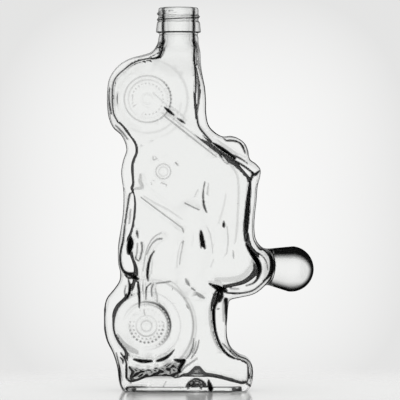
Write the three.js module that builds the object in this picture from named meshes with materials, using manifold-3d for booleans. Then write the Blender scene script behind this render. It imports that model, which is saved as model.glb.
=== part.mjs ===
// A clear glass bottle, moulded as a rider on a motorcycle that stands on its rear wheel.
// Millimetres, +Z up. X runs from the front tyre to the rider's head, and Y through the bottle.
// The bottle is one piece of glass. It is modelled whole, then divided at flat planes into the
// regions that the parts of its mould form.
import * as THREE from "three";
import { mergeVertices } from "three/addons/utils/BufferGeometryUtils.js";
import Module from "manifold-3d";

// Finish: the threaded rim, on the bottle's own upright axis at X = 0
const RIM_ROUND = 1;
const FINISH_RADIUS = 12.8;
const BORE_RADIUS = 9.3;
const THREAD_PITCH = 3.8;
const THREAD_TURNS = 1.6;
const THREAD_START = -75;
const THREAD_LIFT = 1;
const THREAD_WIDTH = 2.6;
const THREAD_BELOW_RIM = 2.8;
const THREAD_FADE = 0.12;
const THREAD_ENDS = 0.05;
const COLLAR_BELOW_RIM = 9;
const COLLAR_HEIGHT = 7;
const COLLAR_LIFT = 0.9;
const COLLAR_FLARE = 0.7;
const GROOVE_HEIGHT = 1.6;
const GROOVE_DEPTH = 0.5;

// Neck and shoulder
const NECK_RADIUS = 12.8;
const NECK_LENGTH = 6.4;
const SHOULDER_TOP = 221;
const SHOULDER_HEIGHT = 24;
const SHOULDER_GLASS = 4;
const INNER_SHOULDER_HEIGHT = 23;

// Body: a flat slab with a rounded edge, hollow inside
const BODY_DEPTH = 36;
const EDGE_ROUND = 4.2;
const FACE_WALL = 4;
const CAVITY_ROUND = 3.5;
const HEEL_WALL = 5.5;
const BIKE_WALL = 7;
const WHEEL_WALL = 4;
const SHOULDER_WALL = 4.5;
const TANK_WALL = 6;
const ARM_WALL = 6;
const BACK_WALL = 7;
const STEM_WALL = 8.5;
const FOOT_WALL = 4.5;

// Push-up under the base
const PUSH_UP_HEIGHT = 4.5;
const PUSH_UP_STRAIGHT = 1;
const STANDING_WIDTH = 6;
const FLOOR_GLASS = 8;
const HEEL_FLAT_LEFT = -33;
const HEEL_FLAT_RIGHT = 42.5;
const HEEL_DIP = 9;

// Motorcycle
const FRONT_HUB = { x: -19.5, z: 186 };
const REAR_HUB = { x: -20.2, z: 42 };
const FRONT_TYRE_RADIUS = 26;
const REAR_TYRE_RADIUS = 27;
const BRAKE_RADIUS = 15.3;
const TYRE_WIDTH = 6;
const HUB_RADIUS = 4;
const DISH_RELIEF = 0.6;
const BRAKE_RELIEF = 1.4;
const RELIEF = 2;
const LOW_RELIEF = 1;
const HANDLEBAR = { x: 46, z: 141.5 };
const FORK_RADIUS = 3.3;
const SWING_ARM_TOP = { x: -22.5, z: 76 };
const SWING_ARM_RADIUS = 2.8;
const SWING_ARM_GAP = 8;
const FENDER_GAP = 4;
const FENDER_TUBE = 1.8;
const FENDER_BENDS = [80, 64, 48, 32, 16];
const ENGINE = { x: -10, z: 140 };
const CRANKCASE_RADIUS = 6;
const CRANKCASE_LENGTH = 2;
const FIN_LENGTH = 13;
const FIN_THICKNESS = 1.4;
const FIN_PITCH = 2.8;
const FIN_COUNT = 3;

// Rider
const HEAD = { x: 72, z: 77.8 };
const HEAD_RADIUS = 14.6;
const NAPE = { x: 53.5, z: 79.8 };
const NAPE_RADIUS = 10.8;
const FOOT_PEG = { x: -22, z: 128 };
const KNEE = { x: 6, z: 111 };
const HIP = { x: 19, z: 74 };
const SHIN_RADIUS = 5.5;
const THIGH_RADIUS = 8;
const HIP_RADIUS = 10;
const LEG_RELIEF = 3.4;
const LOWER_BACK = { x: 36, z: 78 };
const LOWER_BACK_RADIUS = 10;

// Fineness of the curves
const OUTLINE_STEPS = 2;
const ROUND_STEPS = 36;
const EDGE_STEPS = 2;
const ROD_STEPS = 10;
const HEAD_STEPS = 24;
const THREAD_STEPS = 20;
const FAR = 400;

const HALF_DEPTH = BODY_DEPTH / 2;
const COLLAR_BOTTOM = SHOULDER_TOP + NECK_LENGTH + GROOVE_HEIGHT;
const COLLAR_TOP = COLLAR_BOTTOM + COLLAR_HEIGHT;
const RIM_HEIGHT = COLLAR_TOP + COLLAR_BELOW_RIM;

// Regions that the mould parts form
const BASE_TOP = 13;
const NECK_BOTTOM = SHOULDER_TOP;
const FINISH_BOTTOM = SHOULDER_TOP + NECK_LENGTH;
const HEAD_CUT = NAPE.x + 7.5;

const wasm = await Module();
wasm.setup();

// A closed geometry as a solid that can be joined and cut.
function solid(geometry) {
  const plain = geometry.clone();
  plain.deleteAttribute("normal");
  plain.deleteAttribute("uv");
  const merged = mergeVertices(plain, 1e-4);
  const mesh = new wasm.Mesh({
    numProp: 3,
    vertProperties: new Float32Array(merged.attributes.position.array),
    triVerts: new Uint32Array(merged.index.array),
  });
  return new wasm.Manifold(mesh);
}

function joined(solids) {
  return solids.reduce((whole, next) => whole.add(next));
}

function block(low, high) {
  const size = new THREE.Vector3().subVectors(high, low);
  const middle = new THREE.Vector3().addVectors(low, high).multiplyScalar(0.5);
  const box = new THREE.BoxGeometry(size.x, size.y, size.z);
  return solid(box.translate(middle.x, middle.y, middle.z));
}

// Points round a wheel's hub: an angle in degrees, and how far outside the tyre the edge runs.
function around(hub, radius, stations) {
  return stations.map(([degrees, beyond]) => {
    const angle = THREE.MathUtils.degToRad(degrees);
    const reach = radius + beyond;
    return [hub.x + reach * Math.cos(angle), hub.z + reach * Math.sin(angle)];
  });
}

// Points given from a place on the bottle.
function near(place, offsets) {
  return offsets.map(([x, z]) => [place.x + x, place.z + z]);
}

// The edge of the body seen from the front, clockwise from the heel below the rear wheel.
// A stretch has a wall, the glass between it and the hollow, or else its own inner points, which are
// none where no hollow lies behind it. Below the table the outline only closes itself.
const FRONT_EDGE = [
  [220, 2.5], [206, 1.4], [190, 0], [170, 0], [154, 1.4], [140, 2], [126, 2.2], [112, 2.1], [98, 2.1],
];
const REAR_EDGE = [[200, 0], [180, 0.2], [158, 2.1], [145, 3.7], [131, 4.2]];
const NECK_ROOT = { x: 0, z: SHOULDER_TOP };
const NECK_EDGE = [[-NECK_RADIUS - 0.8, -1.5], [-7, 1], [7, 1], [NECK_RADIUS - 0.1, -4]];
const HAND_EDGE = [[-0.4, 6.3], [3.3, 3.5], [6.2, -0.2], [6, -4.7]];
const NAPE_EDGE = [[0, 11.7], [5, 7.7], [7, -0.3], [5, -8.3]];
const TOE_INSIDE = [[40.6, 17.2], [42.3, 13], [39.6, 9]];
const STRETCHES = [
  { inner: [[-31.5, 11]], points: [[-37.8, 7]] },
  { wall: HEEL_WALL, points: [[-39, 16], [-41.6, 24.5]] },
  { wall: WHEEL_WALL, points: around(REAR_HUB, REAR_TYRE_RADIUS, REAR_EDGE) },
  { wall: BIKE_WALL, points: [[-37.4, 70.7], [-36.9, 75.5], [-38.1, 81.5], [-38.2, 93], [-36.6, 103.5]] },
  { wall: BIKE_WALL, points: [[-35.2, 113.5], [-34.9, 127], [-36.3, 139.5], [-35, 147.5], [-33, 154]] },
  { wall: WHEEL_WALL, points: [[-36, 162.6]] },
  { wall: WHEEL_WALL, points: around(FRONT_HUB, FRONT_TYRE_RADIUS, FRONT_EDGE) },
  { wall: SHOULDER_WALL, points: near(NECK_ROOT, [[-17.6, -5.2]]) },
  { inner: near(NECK_ROOT, [[-9, -5], [0, -2], [7.5, -7]]), points: near(NECK_ROOT, NECK_EDGE) },
  { wall: SHOULDER_WALL, points: near(NECK_ROOT, [[NECK_RADIUS + 0.6, -11.5], [NECK_RADIUS + 2, -18.5]]) },
  { wall: TANK_WALL, points: [[16.8, 194.4], [17.6, 184.6], [17.7, 177.5], [19.3, 169.5], [23.4, 164.9]] },
  { inner: [[29.5, 153]], points: [[28.2, 162.3], [33.5, 162.6], [38.3, 161], [42.4, 157.7], [44.3, 153.5]] },
  { inner: near(HANDLEBAR, [[-8, 4], [-2, -3]]), points: near(HANDLEBAR, HAND_EDGE) },
  { wall: ARM_WALL, points: [[50.5, 131], [49.7, 121], [48.6, 111], [48.4, 102.7], [49.6, 96.5]] },
  { inner: near(NAPE, [[-7, 9.2], [-3.5, 2.2], [-4, -4.8]]), points: near(NAPE, NAPE_EDGE) },
  { wall: BACK_WALL, points: [[52.3, 64.7], [47.2, 61.7], [39, 59.8]] },
  { wall: STEM_WALL, points: [[32.8, 58], [31.7, 54], [31.2, 47], [30.7, 40.2], [31.4, 33.1]] },
  { wall: FOOT_WALL, points: [[34, 27], [38.8, 23.2]] },
  { inner: TOE_INSIDE, points: [[43.6, 21.2], [46.4, 18.2], [47.5, 13.5], [47.2, 6.5]] },
  { inner: [[33, FLOOR_GLASS]], points: [[HEEL_FLAT_RIGHT, -HEEL_DIP]] },
  { inner: [[4, FLOOR_GLASS + 0.5], [-25, FLOOR_GLASS]], points: [[4, -HEEL_DIP - 1]] },
  { inner: [], points: [[HEEL_FLAT_LEFT, -HEEL_DIP]] },
];

function smoothLoop(points) {
  const knots = points.map(([x, z]) => new THREE.Vector3(x, 0, z));
  return new THREE.CatmullRomCurve3(knots, true, "centripetal");
}

function outerPoints() {
  return STRETCHES.flatMap((stretch) => stretch.points);
}

// The hollow's own outline: the body's, moved inwards by the glass of each stretch.
function cavityPoints() {
  const edge = smoothLoop(outerPoints());
  const count = edge.points.length;
  let index = 0;
  return STRETCHES.flatMap(({ wall, inner, points }) => {
    const first = index;
    index += points.length;
    return inner ?? points.map((_, place) => insideOf(edge, (first + place) / count, wall));
  });
}

function insideOf(edge, at, wall) {
  const place = edge.getPoint(at);
  const along = edge.getTangent(at);
  return [place.x + along.z * wall, place.z - along.x * wall];
}

// A flat outline made as deep as wanted, with a rounded edge on both faces.
function roundedSlab(points, halfDepth, round) {
  const loop = smoothLoop(points);
  const steps = points.length * OUTLINE_STEPS;
  const flat = Array.from({ length: steps }, (_, step) => {
    const place = loop.getPoint(step / steps);
    return new THREE.Vector2(place.x, place.z);
  });
  const geometry = new THREE.ExtrudeGeometry(new THREE.Shape(flat), {
    depth: 2 * (halfDepth - round),
    bevelThickness: round,
    bevelSize: round,
    bevelOffset: -round,
    bevelSegments: EDGE_STEPS,
    steps: 1,
  });
  geometry.translate(0, 0, round - halfDepth);
  return solid(geometry.rotateX(Math.PI / 2));
}

// The body's depth as a side view: straight below, and closing in a quarter ellipse at the shoulder.
function shoulderArch(halfDepth, top, height) {
  const shape = new THREE.Shape();
  shape.moveTo(-halfDepth, -FAR);
  shape.lineTo(halfDepth, -FAR);
  shape.lineTo(halfDepth, top - height);
  shape.absellipse(0, top - height, halfDepth, height, 0, Math.PI, false, 0);
  shape.closePath();
  const geometry = new THREE.ExtrudeGeometry(shape, { depth: FAR, bevelEnabled: false, curveSegments: 24 });
  geometry.translate(0, 0, -FAR / 2);
  geometry.rotateY(Math.PI / 2);
  return solid(geometry.rotateX(Math.PI / 2));
}

// A turned piece on the bottle's own axis: radius and height pairs from the bottom to the top.
function turned(profile) {
  const points = profile.map(([radius, z]) => new THREE.Vector2(radius, z));
  return solid(new THREE.LatheGeometry(points, ROUND_STEPS).rotateX(Math.PI / 2));
}

function finishAndNeck() {
  const groove = FINISH_RADIUS - GROOVE_DEPTH;
  const collar = FINISH_RADIUS + COLLAR_LIFT;
  return turned([
    [0, SHOULDER_TOP - SHOULDER_HEIGHT],
    [NECK_RADIUS, SHOULDER_TOP - SHOULDER_HEIGHT],
    [NECK_RADIUS, COLLAR_BOTTOM - GROOVE_HEIGHT],
    [groove, COLLAR_BOTTOM - GROOVE_HEIGHT / 2],
    [groove, COLLAR_BOTTOM],
    [collar + COLLAR_FLARE, COLLAR_BOTTOM],
    [collar, COLLAR_TOP - COLLAR_LIFT],
    [FINISH_RADIUS, COLLAR_TOP],
    [FINISH_RADIUS, RIM_HEIGHT - RIM_ROUND],
    [FINISH_RADIUS - RIM_ROUND, RIM_HEIGHT],
    [0, RIM_HEIGHT],
  ]);
}

// The right-handed thread runs down from below the rim, clockwise as seen from above. It starts at an
// angle in degrees, and fades into the wall at both ends.
function thread() {
  const steps = Math.round(THREAD_STEPS * THREAD_TURNS);
  const sunk = THREAD_LIFT;
  const start = THREE.MathUtils.degToRad(THREAD_START);
  const corners = [];
  for (let step = 0; step <= steps; step += 1) {
    const share = step / steps;
    const angle = start - 2 * Math.PI * THREAD_TURNS * share;
    const fade = Math.min(share, 1 - share) / THREAD_FADE;
    const lift = THREAD_LIFT * Math.max(THREAD_ENDS, Math.min(1, fade));
    const middle = RIM_HEIGHT - THREAD_BELOW_RIM - THREAD_PITCH * THREAD_TURNS * share;
    const section = [
      [FINISH_RADIUS - sunk, middle - THREAD_WIDTH / 2],
      [FINISH_RADIUS + lift, middle - THREAD_WIDTH / 6],
      [FINISH_RADIUS + lift, middle + THREAD_WIDTH / 6],
      [FINISH_RADIUS - sunk, middle + THREAD_WIDTH / 2],
    ];
    section.forEach(([radius, z]) => corners.push(radius * Math.cos(angle), radius * Math.sin(angle), z));
  }
  const faces = [0, 2, 1, 0, 3, 2];
  for (let step = 0; step < steps; step += 1) {
    for (let side = 0; side < 4; side += 1) {
      const here = 4 * step + side;
      const next = 4 * step + ((side + 1) % 4);
      faces.push(here, next, here + 4, next, next + 4, here + 4);
    }
  }
  const last = 4 * steps;
  faces.push(last, last + 1, last + 2, last, last + 2, last + 3);
  const geometry = new THREE.BufferGeometry();
  geometry.setAttribute("position", new THREE.Float32BufferAttribute(corners, 3));
  geometry.setIndex(faces);
  return solid(geometry);
}

// A wheel through the body: hub, brake disc and tyre stand out on both faces.
function wheel(hub, tyreRadius) {
  const rim = tyreRadius - TYRE_WIDTH;
  const face = [
    [0, RELIEF],
    [HUB_RADIUS, RELIEF],
    [HUB_RADIUS + 1, DISH_RELIEF],
    [BRAKE_RADIUS - 2, DISH_RELIEF],
    [BRAKE_RADIUS - 1, BRAKE_RELIEF],
    [BRAKE_RADIUS, BRAKE_RELIEF],
    [BRAKE_RADIUS + 1, DISH_RELIEF],
    [rim - 1, DISH_RELIEF],
    [rim, RELIEF],
    [rim + TYRE_WIDTH / 2, RELIEF],
    [rim + TYRE_WIDTH * 0.75, -RELIEF],
  ];
  const upper = face.map(([radius, lift]) => new THREE.Vector2(radius, HALF_DEPTH + lift));
  const lower = face.map(([radius, lift]) => new THREE.Vector2(radius, -HALF_DEPTH - lift));
  const profile = [...lower, ...upper.reverse()];
  return solid(new THREE.LatheGeometry(profile, ROUND_STEPS).translate(hub.x, 0, hub.z));
}

// A round limb between two places, which may swell from one end to the other.
function limb(start, startRadius, end, endRadius, sides = ROD_STEPS) {
  const axis = new THREE.Vector3().subVectors(end, start);
  const length = axis.length();
  const meet = Math.PI - Math.acos((startRadius - endRadius) / length);
  const profile = [];
  const arcSteps = Math.round(sides / 2.5);
  for (let step = 0; step <= arcSteps; step += 1) {
    const angle = (meet * step) / arcSteps;
    profile.push(new THREE.Vector2(startRadius * Math.sin(angle), -startRadius * Math.cos(angle)));
  }
  for (let step = 0; step <= arcSteps; step += 1) {
    const angle = meet + ((Math.PI - meet) * step) / arcSteps;
    profile.push(new THREE.Vector2(endRadius * Math.sin(angle), length - endRadius * Math.cos(angle)));
  }
  profile[0].x = 0;
  profile[profile.length - 1].x = 0;
  const turn = new THREE.Quaternion().setFromUnitVectors(new THREE.Vector3(0, 1, 0), axis.normalize());
  const geometry = new THREE.LatheGeometry(profile, sides).applyQuaternion(turn);
  return solid(geometry.translate(start.x, start.y, start.z));
}

// The same limb on both faces, standing out by its relief.
function limbOnFaces(start, startRadius, end, endRadius, relief) {
  return [-1, 1].map((side) => {
    const from = new THREE.Vector3(start.x, side * (HALF_DEPTH + relief - startRadius), start.z);
    const to = new THREE.Vector3(end.x, side * (HALF_DEPTH + relief - endRadius), end.z);
    return limb(from, startRadius, to, endRadius);
  });
}

function fork() {
  return limbOnFaces(FRONT_HUB, FORK_RADIUS, HANDLEBAR, FORK_RADIUS, RELIEF);
}

function swingArms() {
  return [-0.5, 0.5].flatMap((share) => {
    const top = { x: SWING_ARM_TOP.x + share * SWING_ARM_GAP, z: SWING_ARM_TOP.z };
    return limbOnFaces(top, SWING_ARM_RADIUS, REAR_HUB, SWING_ARM_RADIUS, RELIEF);
  });
}

function rearFender() {
  const radius = REAR_TYRE_RADIUS + FENDER_GAP;
  const tube = FENDER_TUBE;
  const bends = FENDER_BENDS.map((degrees) => {
    const angle = THREE.MathUtils.degToRad(degrees);
    return { x: REAR_HUB.x + radius * Math.cos(angle), z: REAR_HUB.z + radius * Math.sin(angle) };
  });
  return bends.slice(1).flatMap((bend, index) => limbOnFaces(bends[index], tube, bend, tube, LOW_RELIEF));
}

function engine() {
  const crankEnd = { x: ENGINE.x + CRANKCASE_LENGTH, z: ENGINE.z };
  const crankcase = limbOnFaces(ENGINE, CRANKCASE_RADIUS, crankEnd, CRANKCASE_RADIUS, RELIEF);
  const reach = new THREE.Vector3(FIN_LENGTH / 2, HALF_DEPTH + LOW_RELIEF, FIN_THICKNESS / 2);
  const fins = [];
  for (const side of [-1, 1]) {
    for (let fin = 0; fin < FIN_COUNT; fin += 1) {
      const z = ENGINE.z + side * (CRANKCASE_RADIUS + FIN_THICKNESS + fin * FIN_PITCH);
      const middle = new THREE.Vector3(ENGINE.x, 0, z);
      fins.push(block(middle.clone().sub(reach), middle.clone().add(reach)));
    }
  }
  return [...crankcase, ...fins];
}

function rider() {
  return [
    ...limbOnFaces(FOOT_PEG, SHIN_RADIUS, KNEE, SHIN_RADIUS + 1, RELIEF),
    ...limbOnFaces(KNEE, THIGH_RADIUS, HIP, HIP_RADIUS, LEG_RELIEF),
    ...limbOnFaces(HIP, HIP_RADIUS, LOWER_BACK, LOWER_BACK_RADIUS, LEG_RELIEF),
  ];
}

function head() {
  const nape = new THREE.Vector3(NAPE.x, 0, NAPE.z);
  const crown = new THREE.Vector3(HEAD.x, 0, HEAD.z);
  return limb(nape, NAPE_RADIUS, crown, HEAD_RADIUS, HEAD_STEPS);
}

function outside() {
  const slab = roundedSlab(outerPoints(), HALF_DEPTH, EDGE_ROUND);
  const arch = shoulderArch(HALF_DEPTH, SHOULDER_TOP, SHOULDER_HEIGHT);
  const relief = [...fork(), ...swingArms(), ...rearFender(), ...engine(), ...rider()];
  const wheels = [wheel(FRONT_HUB, FRONT_TYRE_RADIUS), wheel(REAR_HUB, REAR_TYRE_RADIUS)];
  return joined([slab.intersect(arch), finishAndNeck(), thread(), head(), ...wheels, ...relief]);
}

function hollow() {
  const halfDepth = HALF_DEPTH - FACE_WALL;
  const chamber = roundedSlab(cavityPoints(), halfDepth, CAVITY_ROUND);
  const arch = shoulderArch(halfDepth, SHOULDER_TOP - SHOULDER_GLASS, INNER_SHOULDER_HEIGHT);
  const bore = turned([
    [0, SHOULDER_TOP - SHOULDER_HEIGHT],
    [BORE_RADIUS, SHOULDER_TOP - SHOULDER_HEIGHT],
    [BORE_RADIUS, RIM_HEIGHT + 1],
    [0, RIM_HEIGHT + 1],
  ]);
  return chamber.intersect(arch).add(bore);
}

// The push-up: a shallow recess that leaves a flat ring to stand on.
function pushUp() {
  const left = HEEL_FLAT_LEFT + STANDING_WIDTH;
  const right = HEEL_FLAT_RIGHT - STANDING_WIDTH;
  const half = HALF_DEPTH - EDGE_ROUND - STANDING_WIDTH;
  const round = PUSH_UP_HEIGHT - PUSH_UP_STRAIGHT;
  const recess = new THREE.Shape();
  recess.moveTo(left + half, -half);
  recess.lineTo(right - half, -half);
  recess.absarc(right - half, 0, half, -Math.PI / 2, Math.PI / 2, false);
  recess.lineTo(left + half, half);
  recess.absarc(left + half, 0, half, Math.PI / 2, (3 * Math.PI) / 2, false);
  const geometry = new THREE.ExtrudeGeometry(recess, {
    depth: PUSH_UP_HEIGHT,
    bevelThickness: round,
    bevelSize: round,
    bevelOffset: -round,
    bevelSegments: EDGE_STEPS,
    curveSegments: 8,
    steps: 1,
  });
  return solid(geometry.translate(0, 0, -round));
}

function wholeBottle() {
  const table = block(new THREE.Vector3(-FAR, -FAR, -FAR), new THREE.Vector3(FAR, FAR, 0));
  return outside().subtract(hollow()).subtract(pushUp()).subtract(table);
}

// The stretch of the glass between two corners.
function region(glass, low, high) {
  return glass.intersect(block(new THREE.Vector3(...low), new THREE.Vector3(...high)));
}

function regions() {
  const glass = wholeBottle();
  return {
    finish: region(glass, [-FAR, -FAR, FINISH_BOTTOM], [FAR, FAR, FAR]),
    neck: region(glass, [-FAR, -FAR, NECK_BOTTOM], [FAR, FAR, FINISH_BOTTOM]),
    front_shell: region(glass, [-FAR, -FAR, BASE_TOP], [HEAD_CUT, 0, NECK_BOTTOM]),
    back_shell: region(glass, [-FAR, 0, BASE_TOP], [HEAD_CUT, FAR, NECK_BOTTOM]),
    base: region(glass, [-FAR, -FAR, -FAR], [FAR, FAR, BASE_TOP]),
    rider_head: region(glass, [HEAD_CUT, -FAR, BASE_TOP], [FAR, FAR, NECK_BOTTOM]),
  };
}

function glassMesh(name, piece) {
  const made = piece.getMesh();
  const geometry = new THREE.BufferGeometry();
  geometry.setAttribute("position", new THREE.BufferAttribute(new Float32Array(made.vertProperties), 3));
  geometry.setIndex(new THREE.BufferAttribute(new Uint32Array(made.triVerts), 1));
  geometry.computeVertexNormals();
  const material = new THREE.MeshStandardMaterial({
    color: "#e9efec",
    roughness: 0.05,
    metalness: 0,
    transparent: true,
    opacity: 0.35,
  });
  const mesh = new THREE.Mesh(geometry, material);
  mesh.name = name;
  return mesh;
}

const bottle = new THREE.Group();
for (const [name, piece] of Object.entries(regions())) {
  bottle.add(glassMesh(name, piece));
}

// The origin is below the middle of the bottle, on the surface it stands on.
const extent = new THREE.Box3().setFromObject(bottle);
const centre = extent.getCenter(new THREE.Vector3());
bottle.position.set(-centre.x, -centre.y, -extent.min.z);

export default bottle;
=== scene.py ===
import math
import bmesh
import bpy
import numpy as np
import openvdb
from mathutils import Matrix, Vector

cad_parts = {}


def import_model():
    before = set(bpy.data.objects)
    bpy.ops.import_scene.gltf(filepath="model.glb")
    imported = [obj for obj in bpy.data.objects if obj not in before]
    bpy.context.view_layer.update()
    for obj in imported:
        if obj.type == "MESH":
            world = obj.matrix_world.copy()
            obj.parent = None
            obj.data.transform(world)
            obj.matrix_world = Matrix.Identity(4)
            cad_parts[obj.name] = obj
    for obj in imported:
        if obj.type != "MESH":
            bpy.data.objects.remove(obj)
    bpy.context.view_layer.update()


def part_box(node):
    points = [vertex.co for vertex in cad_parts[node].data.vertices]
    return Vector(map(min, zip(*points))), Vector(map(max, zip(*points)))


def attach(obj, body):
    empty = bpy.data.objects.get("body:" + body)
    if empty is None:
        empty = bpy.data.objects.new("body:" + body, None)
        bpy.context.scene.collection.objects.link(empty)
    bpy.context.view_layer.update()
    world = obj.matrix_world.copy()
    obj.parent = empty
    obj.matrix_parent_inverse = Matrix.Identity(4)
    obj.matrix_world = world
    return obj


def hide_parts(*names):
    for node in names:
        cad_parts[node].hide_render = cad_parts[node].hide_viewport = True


# The bottle is one piece of moulded glass. Its outer and inner surfaces are made here as one closed
# mesh, drawn from a distance field, and it stands for all the regions of the CAD model.
# The field is in millimetres: X from the neck's own axis, Y through the bottle, Z up from the table.

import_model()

MM = 0.001
NODES = ["finish", "neck", "front_shell", "back_shell", "base", "rider_head"]

# The neck's own axis in the frame
low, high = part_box("neck")
axis_x = (low.x + high.x) / 2
axis_y = (low.y + high.y) / 2

# Finish: rim, thread and collar
FINISH_RADIUS = 12.8
BORE_RADIUS = 9.3
THREAD_PITCH = 3.8
THREAD_TURNS = 1.6
THREAD_START = math.radians(-75)
THREAD_LIFT = 1.0
THREAD_WIDTH = 2.6
THREAD_BELOW_RIM = 2.8
THREAD_FADE = 0.3
COLLAR_BELOW_RIM = 9
COLLAR_HEIGHT = 7
COLLAR_LIFT = 0.9
COLLAR_FLARE = 0.7
COLLAR_FOOT_BEND = 0.8
COLLAR_TOP_BEND = 1.4
FINISH_GROOVE_HEIGHT = 1.6
FINISH_GROOVE_DEPTH = 0.5
FINISH_GROOVE_REACH = 2
RIM_ROUND = 1.6

# Neck and shoulder
NECK_RADIUS = 12.8
NECK_LENGTH = 6.4
SHOULDER_TOP = 221
SHOULDER_HEIGHT = 24
SHOULDER_MIDDLE = 207
SHOULDER_BOTTOM = SHOULDER_TOP - SHOULDER_HEIGHT
NECK_REACH = 15
NECK_REACH_BEND = 10
NECK_FILLET = 5
BORE_BLEND = 8
COLLAR_BOTTOM = SHOULDER_TOP + NECK_LENGTH + FINISH_GROOVE_HEIGHT
RIM_HEIGHT = COLLAR_BOTTOM + COLLAR_HEIGHT + COLLAR_BELOW_RIM

# Body
HALF_DEPTH = 18.0
FACE_WALL = 4.0
EDGE_ROUND = 2.4
CAVITY_ROUND = 1.3
CAVITY_GROWTH = 0.3
HEEL_DIP = 9
FOOT_SOFTNESS = 1.2
WALL_SOFTNESS = 1.2

# Base: the flat recess inside the standing ring, and the dome pushed up from it
RECESS_LEFT = -33.6
RECESS_RIGHT = 40.5
RECESS_HALF = 11
RECESS_HEIGHT = 3.2
RECESS_SOFTNESS = 1
DOME_MIDDLE = 11.3
DOME_RADIUS = 7.2
DOME_STRETCH = 1.2
DOME_FILLET = 0.8
FLOOR_HALF = 13
FLOOR_FILLET = 2

# Motorcycle and rider
FRONT_HUB = (-19.5, 186)
REAR_HUB = (-20.2, 42)
FRONT_TYRE_RADIUS = 26
REAR_TYRE_RADIUS = 27
FRONT_RIM_RADIUS = 20
REAR_RIM_RADIUS = 22.4
TYRE_WIDTH = 5.5
TYRE_LIFT = 0.3
RIM_LIP = 1
RIM_DIP = 0.35
BRAKE_RADIUS = 12.1
BRAKE_DIP = 0.2
HUB_CAP_RADIUS = 3.2
HUB_CAP_LIFT = 0.3
HANDLEBAR = (46, 141.5)
ENGINE_COVER = (-9.5, 140)
NAPE = (53.5, 79.8)
NAPE_RADIUS = 10.8
HEAD = (71.95, 77.8)
HEAD_RADIUS = 14.6
HEAD_FILLET = 2.5

# Heights of the hollow's floor, from left to right
FLOOR_BY_WALLS = [
    (-33, 7), (-29, 5.9), (-25, 7), (-20, 9), (-14, 9.8), (-5, 9.7), (-2, 8.2), (3, 9.4), (20, 9.2),
    (27, 8), (34, 6.1), (40, 4.6), (44, 4.6),
]
FLOOR_MIDDLE = [
    (-33, 7), (-29, 5.9), (-25, 7), (-20, 9), (-14, 9.8), (0, 9.8), (6, 11.2), (10.6, 15.8), (13.6, 15.8),
    (17.4, 11.6), (25, 10.4), (31, 8.8), (36, 7), (41, 5.2), (44, 4.8),
]

# Relief: how soft it is, and how far the inner wall follows it
RELIEF_BLUR = 0.3
BROAD_BLUR = 1.0
INNER_BLUR = 2.0
INNER_SHARE = 0.6
INNER_BROAD_SHARE = 0.95
INNER_RELIEF_START = 6
INNER_RELIEF_BEND = 8

# Where the wall is wavy, by the rear wheel's foot, and how high its waves are and how much painted shade
# lies on them
WAVY_LEFT = -31
WAVY_RIGHT = 1
WAVY_BOTTOM = 9
WAVY_TOP = 19
WAVY_BEYOND_HUB = 27.6
WAVE_HEIGHT = 0.6
WAVY_SHADE = 0.3

# Fine grooves: their edge, depth and tone of painted shade, and how pale the painted edge shade gets at
# most
GROOVE_BLUR = 0.5
GROOVE_NARROWING = 0.85
NEAR_GROOVE = 0.4
FINE_DEPTH = 0.3
FRONT_POWER = 1.9
BACK_SHARE = 0.25
PALEST = 0.85
DOTS_ABOVE_HUB = 0.12

# Fineness of curves, maps and mesh
LOOP_STEPS = 8
PATH_STEPS = 5
MAP_STEP = 0.3
GRID_LOW = (-46.2, -22.2, -1.8)
GRID_HIGH = (88.8, 22.8, 247.2)
GRID_STEP = 0.5
FIELD_REACH = 3.0
FLATNESS = 0.085
REFINE_ROUNDS = 3
GROOVE_TRACE = 0.02
GROOVE_LENGTH = 0.8
BEND_LENGTH = 1.0
BEND_TURN = 0.15
SLOPE_REACH = 0.25
SETTLE_ROUNDS = 3
SETTLE_STEP = 0.3
LEAST_STEEPNESS = 0.1

# Where the grooves' painted shade shows: how far from the hollow, and how squarely to the front or back
OUTER_SKIN = 1.2
OUTER_SKIN_BEND = 0.8
SQUARENESS = 0.35
SQUARENESS_BEND = 0.4


def around(hub, radius, stations):
    """Places round a wheel's hub: an angle in degrees, and how far outside the tyre the edge runs."""
    places = []
    for degrees, beyond in stations:
        angle = math.radians(degrees)
        reach = radius + beyond
        places.append((hub[0] + reach * math.cos(angle), hub[1] + reach * math.sin(angle)))
    return places


def near(place, offsets):
    return [(place[0] + x, place[1] + z) for x, z in offsets]


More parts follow.
